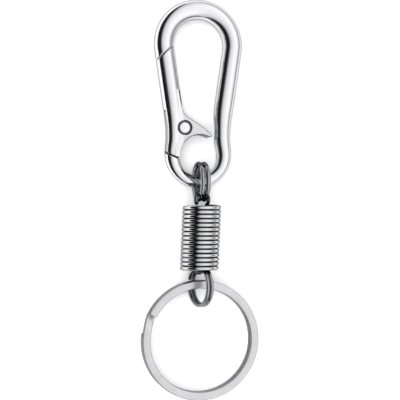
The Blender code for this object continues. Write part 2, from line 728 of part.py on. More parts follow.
def build():
    clear_scene()
    cast = make_material("plated_cast_zinc", (0.80, 0.80, 0.81), 0.14)
    bright = make_material("polished_steel_band", (0.74, 0.74, 0.74), 0.22)
    link = make_material("plated_link_wire", (0.50, 0.50, 0.51), 0.16)
    coil = make_material("spring_wire", (0.58, 0.58, 0.59), 0.18)
    rivet = make_material("rivet_steel", (0.84, 0.84, 0.84), 0.12)
    inner = make_material("return_spring_wire", (0.40, 0.40, 0.41), 0.35)

    # Heights along the chain, from the key ring up
    band_inner_top = key_ring_d - key_band_width
    lower_inner_r = lower_ring_d / 2 - lower_wire_d
    lower_centre = Vector((lower_ring_x, band_inner_top - key_ring_slack + lower_inner_r, 0.0))
    lower_eye = lower_centre.y + (lower_ring_d - lower_wire_d) / 2
    band_over_centre = key_ring_d - lower_centre.y
    turn = math.radians(lower_ring_turn_deg)
    seat = math.sqrt(lower_inner_r**2 - band_over_centre**2) * math.cos(turn)
    seat -= (lower_wire_d + turn_gap) / 2 * math.sin(turn)
    key_drop = seat - seat_gap - key_band_thick - turn_gap / 2
    key_centre = Vector((key_ring_x, key_ring_r, -key_drop))
    spring_low = lower_eye - lower_hook_reach - seat_gap - spring_wire_d / 2
    spring_length = spring_pitch * spring_turns
    spring_middle = Vector((spring_x, spring_low + spring_length / 2, 0.0))
    upper_eye = spring_low + spring_length + upper_hook_reach
    upper_centre = Vector((upper_ring_x, upper_eye + (upper_ring_d - upper_wire_d) / 2, 0.0))
    foot_top = upper_centre.y + upper_ring_d / 2 - upper_wire_d - carabiner_slack
    carabiner_drop = upper_ring_d / 2 - upper_wire_d - foot_rod_d / 2 - seat_gap
    carabiner_base = Vector((carabiner_x, foot_top - foot_rod_d, -carabiner_drop))

    # Each hook's eye clears the doubled wire that runs through it
    lean = math.radians(spring_lean_deg)
    sway = math.tan(lean) * spring_length / 2
    upper_loop_r = hook_radius(upper_wire_d, spring_x + sway - upper_ring_x, hook_plane_deg)
    lower_plane_deg = hook_plane_deg - 360.0 * spring_turns - lower_hook_lead_deg
    lower_loop_r = hook_radius(lower_wire_d, spring_x - sway - lower_ring_x, lower_plane_deg)

    root = bpy.data.objects.new("chain", None)
    bpy.context.collection.objects.link(root)
    base = bpy.data.objects.new("carabiner_place", None)
    bpy.context.collection.objects.link(base)
    base.parent = root
    base.location = carabiner_base

    zero = Vector((0.0, 0.0, 0.0))
    frame = make_frame(cast, zero)
    gate = make_gate(cast, pivot)
    pin = make_pin(rivet, pivot)
    return_spring = make_return_spring(inner, pivot)
    for piece in list(bpy.data.objects):
        if piece not in (root, base):
            piece.parent = base

    upper_ring = make_link(
        "upper_split_ring", upper_ring_d, upper_wire_d, upper_ring_turn_deg, upper_ring_end_deg, link,
        upper_centre,
    )
    lower_ring = make_link(
        "lower_split_ring", lower_ring_d, lower_wire_d, lower_ring_turn_deg, lower_ring_end_deg, link,
        lower_centre,
    )
    key_ring = make_key_ring(bright, key_centre)
    points = spring_points(spring_middle, upper_eye, upper_loop_r, lower_eye, lower_loop_r)
    print("least gap between the spring's turns, mm:", round(least_gap(points, spring_wire_d) / mm, 3))
    tilt = Matrix.Rotation(-lean, 3, "Z")
    points = [spring_middle + tilt @ (p - spring_middle) for p in points]
    hook_top = spring_middle + tilt @ (Vector((spring_x, upper_eye, 0.0)) - spring_middle)
    hook_low = spring_middle + tilt @ (Vector((spring_x, lower_eye, 0.0)) - spring_middle)
    spring = wire("extension_spring", points, spring_wire_d, coil, hook_top)
    for piece in (upper_ring, lower_ring, key_ring, spring):
        piece.parent = root

    # Stand the chain on z = 0, with the middle of its outline at x = y = 0
    shown = [frame, gate, pin, return_spring, upper_ring, lower_ring, key_ring, spring]
    bpy.context.view_layer.update()
    graph = bpy.context.evaluated_depsgraph_get()
    corners = []
    for piece in shown:
        seen = piece.evaluated_get(graph)
        mesh = seen.to_mesh()
        corners += [seen.matrix_world @ v.co for v in mesh.vertices]
        seen.to_mesh_clear()
    low = Vector([min(c[k] for c in corners) for k in range(3)])
    high = Vector([max(c[k] for c in corners) for k in range(3)])
    move = Vector((-(low.x + high.x) / 2, -(low.y + high.y) / 2, -low.z))
    root.location = move
    bpy.context.view_layer.update()

    places = {
        "gate pivot": base.matrix_world @ pivot,
        "foot of the carabiner": carabiner_base + Vector((0.0, foot_rod_d / 2, 0.0)) + move,
        "upper ring in the hook": hook_top + move,
        "lower ring in the hook": hook_low + move,
        "band in the lower ring": key_centre + Vector((0.0, key_ring_r - key_band_width / 2, 0.0)) + move,
        "key ring centre": key_centre + move,
        "spring direction": tilt @ Vector((0.0, -1.0, 0.0)),
        "upper ring centre": upper_centre + move,
        "lower ring centre": lower_centre + move,
        "carabiner base": carabiner_base + move,
        "spring middle": spring_middle + move,
        "size": high - low,
    }
    for name, place in places.items():
        print(name, "mm:", [round(v / mm, 4) for v in place])
    print("eye radius of each hook, mm:", round(upper_loop_r / mm, 4), round(lower_loop_r / mm, 4))


build()
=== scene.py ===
import json
import math

import bpy
from mathutils import Matrix, Vector


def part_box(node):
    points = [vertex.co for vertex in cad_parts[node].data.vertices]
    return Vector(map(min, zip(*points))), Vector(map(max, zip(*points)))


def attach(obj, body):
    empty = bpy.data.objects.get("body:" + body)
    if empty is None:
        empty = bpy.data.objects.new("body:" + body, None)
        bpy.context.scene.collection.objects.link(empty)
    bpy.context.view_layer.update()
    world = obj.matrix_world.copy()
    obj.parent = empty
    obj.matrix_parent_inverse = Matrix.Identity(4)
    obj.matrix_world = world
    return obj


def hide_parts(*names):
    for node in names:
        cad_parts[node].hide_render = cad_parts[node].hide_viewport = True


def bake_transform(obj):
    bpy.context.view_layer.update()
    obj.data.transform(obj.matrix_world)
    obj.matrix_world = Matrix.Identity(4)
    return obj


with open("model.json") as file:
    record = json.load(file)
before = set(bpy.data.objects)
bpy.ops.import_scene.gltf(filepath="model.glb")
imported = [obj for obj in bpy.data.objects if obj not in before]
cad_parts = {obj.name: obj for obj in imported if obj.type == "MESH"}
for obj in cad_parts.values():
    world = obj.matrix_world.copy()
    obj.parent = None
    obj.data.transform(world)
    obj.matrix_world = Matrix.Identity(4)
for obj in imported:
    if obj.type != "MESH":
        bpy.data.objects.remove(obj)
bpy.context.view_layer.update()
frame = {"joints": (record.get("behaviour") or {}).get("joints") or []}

# A carabiner key chain laid out on a pale table. Lengths below are in millimetres.
mm = 0.001
joints = {joint["name"]: joint for joint in frame["joints"]}
scene = bpy.context.scene


def middleOf(node):
    low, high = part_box(node)
    return (low + high) / 2


# Materials

def linearColour(hexCode):
    # sRGB hex to the linear values that the shader wants
    found = []
    for k in (0, 2, 4):
        part = int(hexCode[k:k + 2], 16) / 255
        found.append(part / 12.92 if part <= 0.04045 else ((part + 0.055) / 1.055) ** 2.4)
    return (*found, 1.0)


def addNode(tree, kind, values=None, links=None, **settings):
    node = tree.nodes.new(kind)
    for key, value in settings.items():
        setattr(node, key, value)
    for key, value in (values or {}).items():
        node.inputs[key].default_value = value
    for key, source in (links or {}).items():
        tree.links.new(source, node.inputs[key])
    return node


def metalFinish(name, look):
    # Two close tints, two close roughnesses and a fine relief, each from its own noise
    material = bpy.data.materials.new(name)
    material.use_nodes = True
    tree = material.node_tree
    shader = tree.nodes["Principled BSDF"]
    shader.inputs["Metallic"].default_value = 1.0
    shader.inputs["Specular Tint"].default_value = linearColour(look["edge"])
    coords = addNode(tree, "ShaderNodeTexCoord").outputs[look["coords"]]
    toMm = 1.0 if look["coords"] == "UV" else 1.0 / mm
    stretch = look["stretch"]

    def pattern(sizeMm, detail, lined):
        # One noise whose blobs are sizeMm across, drawn out along the piece if lined
        scale = [toMm / sizeMm] * 3
        if lined:
            scale[0] = toMm / (sizeMm * stretch)
        place = addNode(tree, "ShaderNodeMapping", {"Scale": scale}, {"Vector": coords})
        noise = addNode(
            tree, "ShaderNodeTexNoise", {"Scale": 1.0, "Detail": detail, "Roughness": 0.6},
            {"Vector": place.outputs["Vector"]},
        )
        return noise.outputs["Fac"]

    tint = addNode(tree, "ShaderNodeMix", data_type="RGBA")
    colourSlots = [slot for slot in tint.inputs if slot.type == "RGBA"]
    colourSlots[0].default_value = linearColour(look["colour"])
    colourSlots[1].default_value = linearColour(look["shade"])
    tree.links.new(pattern(look["cloudMm"], 3.0, False), tint.inputs["Factor"])
    colourOut = [slot for slot in tint.outputs if slot.type == "RGBA"][0]
    if "paintedGrooveShade" in look:
        # Painted shade: a darker grey where the "groove" map is low, none where it is high
        grooveCoord = addNode(tree, "ShaderNodeUVMap", uv_map="groove").outputs["UV"]
        split = addNode(tree, "ShaderNodeSeparateXYZ", links={"Vector": grooveCoord})
        shadeAmount = addNode(
            tree, "ShaderNodeMapRange",
            {
                "From Min": look["grooveShadeSpan"][0], "From Max": look["grooveShadeSpan"][1],
                "To Min": 1.0, "To Max": 0.0,
            },
            {"Value": split.outputs["X"]}, interpolation_type="SMOOTHSTEP",
        )
        shadeMix = addNode(tree, "ShaderNodeMix", data_type="RGBA")
        tree.links.new(shadeAmount.outputs["Result"], shadeMix.inputs["Factor"])
        shadeMixSlots = [slot for slot in shadeMix.inputs if slot.type == "RGBA"]
        tree.links.new(colourOut, shadeMixSlots[0])
        shadeMixSlots[1].default_value = linearColour(look["paintedGrooveShade"])
        colourOut = [slot for slot in shadeMix.outputs if slot.type == "RGBA"][0]
    tree.links.new(colourOut, shader.inputs["Base Color"])

    rough = addNode(
        tree, "ShaderNodeMapRange",
        {"From Min": 0.3, "From Max": 0.7, "To Min": look["rough"][0], "To Max": look["rough"][1]},
        {"Value": pattern(look["grainMm"] * 2, 2.0, True)},
    )
    tree.links.new(rough.outputs["Result"], shader.inputs["Roughness"])

    relief = addNode(
        tree, "ShaderNodeBump", {"Strength": look["bump"], "Distance": look["reliefMm"] * mm},
        {"Height": pattern(look["grainMm"], 2.0, True)},
    )
    swell = addNode(
        tree, "ShaderNodeBump", {"Strength": look["bump"], "Distance": look["swellMm"] * mm},
        {"Height": pattern(look["cloudMm"] / 2, 1.0, False), "Normal": relief.outputs["Normal"]},
    )
    tree.links.new(swell.outputs["Normal"], shader.inputs["Normal"])
    return material


# Nickel-plated zinc, die cast, tumbled and plated: bright, with the faint swell of a cast skin
platedZinc = metalFinish("nickelPlatedZinc", {
    "colour": "DCDCDE", "shade": "D2D2D5", "edge": "6A6A6C", "rough": (0.09, 0.15), "coords": "Object",
    "cloudMm": 5.0, "grainMm": 0.35, "stretch": 1.0, "bump": 0.25, "reliefMm": 0.004, "swellMm": 0.02,
})

# The same plating on the finger's flat cheeks, which are linished: a duller, even grey
linishedZinc = metalFinish("linishedZinc", {
    "colour": "CECECF", "shade": "C2C2C4", "edge": "8C8C8E", "rough": (0.30, 0.40), "coords": "Object",
    "cloudMm": 3.0, "grainMm": 0.22, "stretch": 1.0, "bump": 0.4, "reliefMm": 0.010, "swellMm": 0.02,
})

# Joint faces, pin recess and the finger's rim, which no wheel reaches: dull rough zinc as cast; its dark
# grey is partly the bare casting and partly painted shade in the joints, the recess and along the rim
castZincPaintedShade = metalFinish("asCastZincWithPaintedShade", {
    "colour": "7A7A7C", "shade": "5E5E60", "edge": "606062", "rough": (0.45, 0.60), "coords": "Object",
    "cloudMm": 1.0, "grainMm": 0.2, "stretch": 1.0, "bump": 0.5, "reliefMm": 0.015, "swellMm": 0.02,
})

# Steel rivet, polished after setting: a little brighter and smoother than the casting
rivetSteel = metalFinish("polishedRivetSteel", {
    "colour": "E0E0E1", "shade": "D2D2D4", "edge": "C0C0C2", "rough": (0.10, 0.18), "coords": "Object",
    "cloudMm": 1.2, "grainMm": 0.2, "stretch": 1.0, "bump": 0.3, "reliefMm": 0.004, "swellMm": 0.01,
})

# Flat spring-steel band, rolled and tumbled: soft sheen with fine lines along the band
bandSteel = metalFinish("tumbledBandSteel", {
    "colour": "C8C8C9", "shade": "B8B8BA", "edge": "9A9A9C", "rough": (0.22, 0.32), "coords": "UV",
    "cloudMm": 3.0, "grainMm": 0.16, "stretch": 26.0, "bump": 0.35, "reliefMm": 0.008, "swellMm": 0.02,
})

# The band's narrow walls in a much darker grey than its faces: painted shade on the walls
bandWallPaintedShade = metalFinish("paintedShadeBandWall", {
    "colour": "9C9C9E", "shade": "7C7C7E", "edge": "8A8A8C", "rough": (0.22, 0.34), "coords": "UV",
    "cloudMm": 2.0, "grainMm": 0.14, "stretch": 26.0, "bump": 0.35, "reliefMm": 0.008, "swellMm": 0.02,
})

# Nickel-plated link wire: glossy, darker than the casting where plating is thin
linkWire = metalFinish("nickelPlatedLinkWire", {
    "colour": "A8A8AA", "shade": "8A8A8D", "edge": "707072", "rough": (0.05, 0.10), "coords": "UV",
    "cloudMm": 1.6, "grainMm": 0.14, "stretch": 18.0, "bump": 0.3, "reliefMm": 0.006, "swellMm": 0.012,
})

# Music wire drawn through a die, not plated: grey with draw lines along the wire, and painted
# shade: a darker grey laid in the grooves between the turns and on the coil's inside
springWire = metalFinish("drawnMusicWire", {
    "colour": "CACACC", "shade": "BCBCBF", "edge": "6C6C6E", "rough": (0.05, 0.11), "coords": "UV",
    "cloudMm": 2.0, "grainMm": 0.12, "stretch": 24.0, "bump": 0.35, "reliefMm": 0.006, "swellMm": 0.010,
    "paintedGrooveShade": "646467", "grooveShadeSpan": (0.35, 0.95),
})

# Oil-blackened return spring wire inside the gate
darkWire = metalFinish("oilBlackenedWire", {
    "colour": "6E6E70", "shade": "565658", "edge": "808082", "rough": (0.30, 0.42), "coords": "UV",
    "cloudMm": 0.8, "grainMm": 0.08, "stretch": 16.0, "bump": 0.3, "reliefMm": 0.004, "swellMm": 0.006,
})
print("materials made")


# Curves and outlines

def arc(centre, radius, startDeg, endDeg, steps):
    found = []
    for k in range(steps + 1):
        angle = math.radians(startDeg + (endDeg - startDeg) * k / steps)
        x = centre[0] + radius * math.cos(angle)
        found.append(Vector((x, centre[1] + radius * math.sin(angle), 0)))
    return found


def circle(centre, radius, count):
    # A full round of points, with the first not repeated
    return arc(centre, radius, 0, 360 * (count - 1) / count, count - 1)


def bezier(p0, p1, p2, p3, steps):
    found = []
    for k in range(steps + 1):
        t = k / steps
        u = 1 - t
        found.append(u**3 * p0 + 3 * u * u * t * p1 + 3 * u * t * t * p2 + t**3 * p3)
    return found


def smoothStep(t):
    t = min(max(t, 0.0), 1.0)
    return t * t * (3 - 2 * t)


def mix(a, b, t):
    return a + (b - a) * t


def polar(angleDeg, radius=1.0):
    angle = math.radians(angleDeg)
    return Vector((radius * math.cos(angle), radius * math.sin(angle), 0))


# Meshes

def skin(name, sections, material, lengths=None, around=None):
    # Joins a row of loops into one closed mesh, with UVs in millimetres along and around
    sides = len(sections[0])
    rows = len(sections)
    points = [point for section in sections for point in section]
    faces = []
    for row in range(rows - 1):
        for k in range(sides):
            n = (k + 1) % sides
            a = row * sides
            b = a + sides
            faces.append((a + k, b + k, b + n, a + n))
    faces.append(tuple(range(sides)))
    faces.append(tuple((rows - 1) * sides + k for k in reversed(range(sides))))
    mesh = bpy.data.meshes.new(name)
    mesh.from_pydata(points, [], faces)
    if lengths:
        layer = mesh.uv_layers.new(name="along")
        for face in mesh.polygons:
            for loop in face.loop_indices:
                index = mesh.loops[loop].vertex_index
                row, k = divmod(index, sides)
                wrap = around if k == 0 and face.index % sides == sides - 1 else 0.0
                layer.data[loop].uv = (lengths[row], around * k / sides + wrap)
    mesh.shade_smooth()
    mesh.set_sharp_from_angle(angle=math.radians(40))
    if material:
        mesh.materials.append(material)
    piece = bpy.data.objects.new(name, mesh)
    scene.collection.objects.link(piece)
    return piece


def plate(name, outline, low, high):
    # A flat plate between two heights, for joining to a rod or for cutting it
    count = len(outline)
    points = [Vector((p.x, p.y, low)) for p in outline]
    points += [Vector((p.x, p.y, high)) for p in outline]
    faces = [tuple(reversed(range(count))), tuple(range(count, 2 * count))]
    faces += [(k, (k + 1) % count, count + (k + 1) % count, count + k) for k in range(count)]
    mesh = bpy.data.meshes.new(name)
    mesh.from_pydata(points, [], faces)
    piece = bpy.data.objects.new(name, mesh)
    scene.collection.objects.link(piece)
    return piece


def settle(piece):
    # Replaces a piece's mesh with what its modifiers make of it
    bpy.context.view_layer.update()
    graph = bpy.context.evaluated_depsgraph_get()
    mesh = bpy.data.meshes.new_from_object(piece.evaluated_get(graph))
    piece.modifiers.clear()
    piece.data = mesh


def combine(piece, other, operation):
    step = piece.modifiers.new(operation, "BOOLEAN")
    step.operation = operation
    step.solver = "EXACT"
    step.object = other
    settle(piece)
    bpy.data.objects.remove(other)


def castSkin(piece, cell, rounds):
    # Gives a joined shape the softened edges of a tumbled casting
    remesh = piece.modifiers.new("cast", "REMESH")
    remesh.mode = "VOXEL"
    remesh.voxel_size = cell
    soften = piece.modifiers.new("tumble", "SMOOTH")
    soften.factor = 0.5
    soften.iterations = rounds
    settle(piece)
    piece.data.shade_smooth()


def place(piece, origin, material, body, node, slot):
    # From millimetres about the carabiner's foot to metres in the frame
    piece.data.transform(Matrix.Translation(origin) @ Matrix.Scale(mm, 4))
    piece.data.materials.clear()
    piece.data.materials.append(material)
    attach(piece, body)
    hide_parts(node)


# Carabiner: one rod bent to a pear, in its own millimetres about the foot of the eye

carabiner = {
    "length": 47.0, "rodWide": 4.9, "rodDeep": 4.7, "bowRadius": 8.85, "legTaper": 8.5,
    "waistHalf": 6.2, "waistHeight": 12.8, "waistRod": 4.1, "eyeRadius": 6.65, "eyeHeight": 8.1,
    "eyeRod": 3.8, "footRod": 3.0, "blendHeight": 21.5, "sides": 48, "gap": 0.3,
    "pivot": Vector((-3.93, 14.85, 0)), "tailRadius": 7.6, "noseHeight": 33.6, "noseDeg": 42.0,
    "scoopDeep": 0.45, "scoopLong": 6.4, "cell": 0.13, "rounds": 4,
    "scoopOut": 2.0, "bendSteps": 20, "legSteps": 12, "eyeSteps": 60, "bowSteps": 70, "softness": 2.5,
}
bowHeight = carabiner["length"] - carabiner["rodWide"] / 2 - carabiner["bowRadius"]
taper = math.radians(carabiner["legTaper"])
legTop = Vector((
    carabiner["bowRadius"] * math.cos(taper), bowHeight - carabiner["bowRadius"] * math.sin(taper), 0
))
pivot = carabiner["pivot"]
waistInner = carabiner["waistHalf"] - carabiner["waistRod"] / 2


def legX(y):
    return legTop.x - (legTop.y - y) * math.tan(taper)


def rodSize(y):
    # Width and depth of the rod at a height
    shape = carabiner
    if y < shape["eyeHeight"]:
        t = smoothStep((y - shape["footRod"] / 2) / (shape["eyeHeight"] - shape["footRod"] / 2))
        thick = mix(shape["footRod"], shape["eyeRod"], t)
        return thick, thick
    if y < shape["waistHeight"]:
        t = smoothStep((y - shape["eyeHeight"]) / (shape["waistHeight"] - shape["eyeHeight"]))
        thick = mix(shape["eyeRod"], shape["waistRod"], t)
        return thick, thick
    t = smoothStep((y - shape["waistHeight"]) / (shape["blendHeight"] - shape["waistHeight"]))
    return mix(shape["waistRod"], shape["rodWide"], t), mix(shape["waistRod"], shape["rodDeep"], t)


def sidePath(side):
    # The rod's centre line from beside the eye up to the bow
    shape = carabiner
    up = Vector((0, 1, 0))
    eye = Vector((shape["eyeRadius"], shape["eyeHeight"], 0))
    waist = Vector((shape["waistHalf"], shape["waistHeight"], 0))
    blend = Vector((legX(shape["blendHeight"]), shape["blendHeight"], 0))
    slope = Vector((math.sin(taper), math.cos(taper), 0))
    lower = (shape["waistHeight"] - shape["eyeHeight"]) / shape["softness"]
    upper = (shape["blendHeight"] - shape["waistHeight"]) / shape["softness"]
    path = bezier(eye, eye + lower * up, waist - lower * up, waist, shape["bendSteps"])
    path += bezier(waist, waist + upper * up, blend - upper * slope, blend, shape["bendSteps"])[1:]
    path += [blend.lerp(legTop, k / shape["legSteps"]) for k in range(1, shape["legSteps"] + 1)]
    return [Vector((side * p.x, p.y, 0)) for p in path]


def rod(name, path):
    sections = []
    for k, centre in enumerate(path):
        ahead = path[min(k + 1, len(path) - 1)] - path[max(k - 1, 0)]
        side = ahead.normalized().cross(Vector((0, 0, 1)))
        wide, deep = rodSize(centre.y)
        section = []
        for n in range(carabiner["sides"]):
            angle = 2 * math.pi * n / carabiner["sides"]
            section.append(
                centre + side * (wide / 2 * math.cos(angle)) + Vector((0, 0, deep / 2 * math.sin(angle)))
            )
        sections.append(section)
    return skin(name, sections, None)


def noseWedge(side):
    # Fills one side of the slanted joint between the nose and the gate, well past the rod
    along = polar(carabiner["noseDeg"])
    across = Vector((-along.y, along.x, 0)) * side
    height = carabiner["noseHeight"]
    centre = Vector((-legX(height), height, 0)) - across * carabiner["gap"] / 2
    reach = carabiner["rodWide"] * 1.6
    corners = [centre - along * reach, centre + along * reach]
    corners += [corners[1] + across * reach, corners[0] + across * reach]
    if side < 0:
        corners.reverse()
    deep = carabiner["rodDeep"]
    return plate("wedge", corners, -deep, deep)


def leftEdge(y):
    path = sidePath(-1)
    for a, b in zip(path, path[1:]):
        if a.y <= y <= b.y:
            return mix(a.x, b.x, (y - a.y) / (b.y - a.y)) - rodSize(y)[0] / 2
    return -carabiner["eyeRadius"] - carabiner["eyeRod"] / 2


tongue = {
    "thick": 1.4, "radius": 2.0, "top": 18.85, "strip": 2.3, "neckDeg": -62.0, "crownDeg": 112.0,
    "sideGap": 0.25, "steps": 40, "edgeSteps": 12,
}
pin = {
    "shaft": 1.5, "head": 2.6, "headThick": 0.35, "edge": 0.1, "recess": 3.56, "recessDeep": 0.45,
    "gap": 0.12, "dome": 0.05, "domeShare": 0.85, "bevel": 0.05, "tipRadius": 0.02, "sides": 64, "steps": 6,
}
eyeLeft = Vector((-carabiner["eyeRadius"], carabiner["eyeHeight"] - carabiner["eyeRod"] / 2, 0))
tongueFoot = Vector((
    -carabiner["eyeRadius"] + carabiner["eyeRod"] / 3, carabiner["eyeHeight"] - carabiner["eyeRod"] / 4, 0
))


def makeTongue():
    rise = []
    for k in range(tongue["edgeSteps"] + 1):
        y = mix(tongue["top"], carabiner["eyeHeight"], k / tongue["edgeSteps"])
        rise.append(Vector((leftEdge(y), y, 0)))
    stripX = leftEdge(tongue["top"]) + tongue["strip"]
    outline = [eyeLeft, tongueFoot]
    outline += arc(pivot, tongue["radius"], tongue["neckDeg"], tongue["crownDeg"], tongue["steps"])
    outline += [Vector((stripX, pivot.y + tongue["radius"], 0)), Vector((stripX, tongue["top"], 0))]
    return plate("tongue", outline + rise, -tongue["thick"] / 2, tongue["thick"] / 2)


def makeFrame():
    # The rod starts a little above the eye on the left, where the gate's tail cuts it round
    shape = carabiner
    start = [Vector((-p.x, p.y, 0)) for p in reversed(sidePath(1)[:shape["bendSteps"] // 2])]
    eye = arc((0, shape["eyeHeight"]), shape["eyeRadius"], 180, 360, shape["eyeSteps"])
    bow = arc(
        (0, bowHeight), shape["bowRadius"], -shape["legTaper"], 180 + shape["legTaper"], shape["bowSteps"]
    )
    low = shape["noseHeight"] - shape["rodWide"]
    nose = [bow[-1].lerp(Vector((-legX(low), low, 0)), k / 4) for k in range(1, 5)]
    piece = rod("carabinerFrame", start[:-1] + eye + sidePath(1)[1:] + bow[1:] + nose)
    deep = shape["rodDeep"]
    room = circle(pivot, shape["tailRadius"] + shape["gap"] / 2, 180)
    combine(piece, plate("tailRoom", room, -deep, deep), "DIFFERENCE")
    combine(piece, noseWedge(-1), "DIFFERENCE")

    # A shallow hollow in the right rod, opposite the finger's tip
    half = shape["scoopLong"] / 2
    sag = shape["scoopDeep"]
    radius = (half * half + sag * sag) / (2 * sag)
    spread = math.degrees(math.asin(half / radius))
    scoop = arc((waistInner + sag - radius, pivot.y), radius, -spread, spread, 24)
    away = waistInner - shape["scoopOut"]
    scoop += [Vector((away, pivot.y + half, 0)), Vector((away, pivot.y - half, 0))]
    combine(piece, plate("scoop", scoop, -deep, deep), "DIFFERENCE")

    combine(piece, makeTongue(), "UNION")
    hole = circle(pivot, pin["shaft"] / 2 + pin["gap"], 72)
    combine(piece, plate("hole", hole, -deep, deep), "DIFFERENCE")
    castSkin(piece, shape["cell"], shape["rounds"])
    return piece


# Gate: the left leg's rod with a flat finger that closes the eye

gate = {
    "cheek": 4.0, "edge": 0.35, "eyeRadius": 5.0, "eyeHeight": 8.2, "openDeg": 22.0, "spareDeg": 4.0,
    "springReach": 0.85, "cell": 0.12, "rounds": 5,
}
finger = {
    "rootRise": 9.5, "rootInset": 0.7, "rootPull": 3.2, "brow": Vector((0.7, 2.8, 0)),
    "browFall": Vector((0.87, -0.5, 0)), "browPullUp": 1.4, "browPullDown": 2.4,
    "tipGap": 1.5, "tipRadius": 0.3, "tipDrop": 1.9, "tipFall": Vector((0.64, -0.77, 0)), "tipPull": 1.6,
    "tipInset": 2.2,
}


def fingerOutline():
    # From the leg down over the brow to the tip, back along the eye and up inside the rod
    tipX = waistInner + carabiner["scoopDeep"] - finger["tipGap"]
    tipDeg = math.degrees(math.acos((tipX - finger["tipInset"] * finger["tipRadius"]) / gate["eyeRadius"]))
    tip = Vector((tipX - finger["tipRadius"], pivot.y - finger["tipDrop"], 0))
    root = pivot.y + finger["rootRise"]
    legInner = Vector((-legX(root) + carabiner["rodWide"] / 2 - finger["rootInset"], root, 0))
    brow = pivot + finger["brow"]
    slope = Vector((math.sin(taper), -math.cos(taper), 0))
    fall = finger["browFall"]
    end = tip + polar(35, finger["tipRadius"])
    upper = bezier(
        legInner, legInner + slope * finger["rootPull"], brow - fall * finger["browPullUp"], brow, 24
    )
    upper += bezier(
        brow, brow + fall * finger["browPullDown"], end - finger["tipFall"] * finger["tipPull"], end, 20
    )[1:]
    nose = arc(tip, finger["tipRadius"], 10, -70, 8)
    under = arc((0, gate["eyeHeight"]), gate["eyeRadius"], tipDeg, 195, 60)
    inside = [
        eyeLeft,
        Vector((-carabiner["waistHalf"], carabiner["waistHeight"], 0)),
        Vector((-legX(root), root, 0)),
    ]
    outline = upper + nose + under + inside
    outline.reverse()
    return outline


def slotOutline():
    # Room for the frame's tongue when the gate is shut and when it is open
    right = pivot.x - gate["springReach"]
    top = tongue["top"] + carabiner["gap"]
    far = -carabiner["waistHalf"] - carabiner["rodWide"]
    low = carabiner["eyeHeight"] - carabiner["eyeRod"]
    opened = Matrix.Rotation(math.radians(gate["openDeg"]), 3, "Z") @ (tongueFoot - pivot) + pivot
    wall = opened.x + carabiner["gap"]
    radius = tongue["radius"] + carabiner["gap"]
    neckDeg = tongue["neckDeg"] + gate["openDeg"] + gate["spareDeg"]
    outline = [Vector((far, top, 0)), Vector((far, low, 0))]
    outline += [Vector((wall, low, 0)), Vector((wall, opened.y, 0))]
    outline += arc(pivot, radius, neckDeg, 100, tongue["steps"])
    outline += [Vector((right, pivot.y + radius, 0)), Vector((right, top, 0))]
    return outline


def makeGate():
    shape = carabiner
    high = shape["noseHeight"] + shape["rodWide"]
    upper = [p for p in sidePath(-1) if p.y < shape["noseHeight"] - shape["rodWide"] / 2]
    eye = arc((0, shape["eyeHeight"]), shape["eyeRadius"], 205, 180, 12)
    piece = rod("gateLever", eye[:-1] + upper + [Vector((-legX(high), high, 0))])
    web = plate("web", fingerOutline(), -gate["cheek"] / 2, gate["cheek"] / 2)
    bevel = web.modifiers.new("edge", "BEVEL")
    bevel.width = gate["edge"]
    bevel.segments = 4
    bevel.limit_method = "ANGLE"
    bevel.angle_limit = math.radians(60)
    settle(web)
    combine(piece, web, "UNION")
    deep = shape["rodDeep"]
    eyeRoom = circle((0, gate["eyeHeight"]), gate["eyeRadius"], 180)
    combine(piece, plate("eyeRoom", eyeRoom, -deep, deep), "DIFFERENCE")
    tail = arc(pivot, shape["tailRadius"] - shape["gap"] / 2, -160, -75, 60)
    tail += arc(pivot, shape["tailRadius"] + shape["rodWide"], -75, -160, 60)
    tail.reverse()
    combine(piece, plate("tailCut", tail, -deep, deep), "DIFFERENCE")
    combine(piece, noseWedge(1), "DIFFERENCE")
    slotHalf = tongue["thick"] / 2 + tongue["sideGap"]
    combine(piece, plate("slot", slotOutline(), -slotHalf, slotHalf), "DIFFERENCE")
    bore = circle(pivot, pin["shaft"] / 2 + pin["gap"], 72)
    combine(piece, plate("bore", bore, -deep, deep), "DIFFERENCE")
    recess = circle(pivot, pin["recess"] / 2, 120)
    floor = gate["cheek"] / 2 - pin["recessDeep"]
    combine(piece, plate("recess", recess, floor, deep), "DIFFERENCE")
    combine(piece, plate("recess", recess, -deep, -floor), "DIFFERENCE")
    castSkin(piece, gate["cell"], gate["rounds"])
    return piece


frameLow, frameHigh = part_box("carabiner_frame")
foot = (frameLow + frameHigh) / 2
foot.y = frameHigh.y - carabiner["length"] * mm
framePiece = makeFrame()
place(framePiece, foot, platedZinc, "carabiner", "carabiner_frame", "carabiner_cast")
gatePiece = makeGate()
place(gatePiece, foot, platedZinc, "gate", "gate_lever", "gate_cast")

# How far a softened face may lie from the true one, and how a face's tilt sorts it
sorting = {
    "jointRoom": 0.08, "recessRoom": 0.06, "recessStep": 0.1, "cheekRoom": 0.06, "webInset": 1.9,
    "flatTilt": 0.97, "rimTilt": 0.25,
}


def inJoint(point):
    # True on the slanted nose faces, the round tail faces and the pin recess
    local = (point - foot) / mm
    flat = Vector((local.x, local.y, 0))
    height = carabiner["noseHeight"]
    along = polar(carabiner["noseDeg"])
    fromNose = flat - Vector((-legX(height), height, 0))
    fromPin = (flat - pivot).length
    half = carabiner["gap"] / 2 + sorting["jointRoom"]
    nose = abs(fromNose.cross(along).z) < half and fromNose.length < carabiner["rodWide"]
    tail = abs(fromPin - carabiner["tailRadius"]) < half and local.y < pivot.y
    sunk = abs(local.z) < gate["cheek"] / 2 - sorting["recessStep"]
    recess = sunk and fromPin < pin["recess"] / 2 + sorting["recessRoom"]
    return nose or tail or recess


def onWeb(point):
    # True on the finger and the web behind the pin, away from the round rod
    local = (point - foot) / mm
    rodX = -legX(local.y) if local.y > carabiner["waistHeight"] else -carabiner["waistHalf"]
    return local.x > rodX + sorting["webInset"] and local.y < pivot.y + finger["rootRise"]


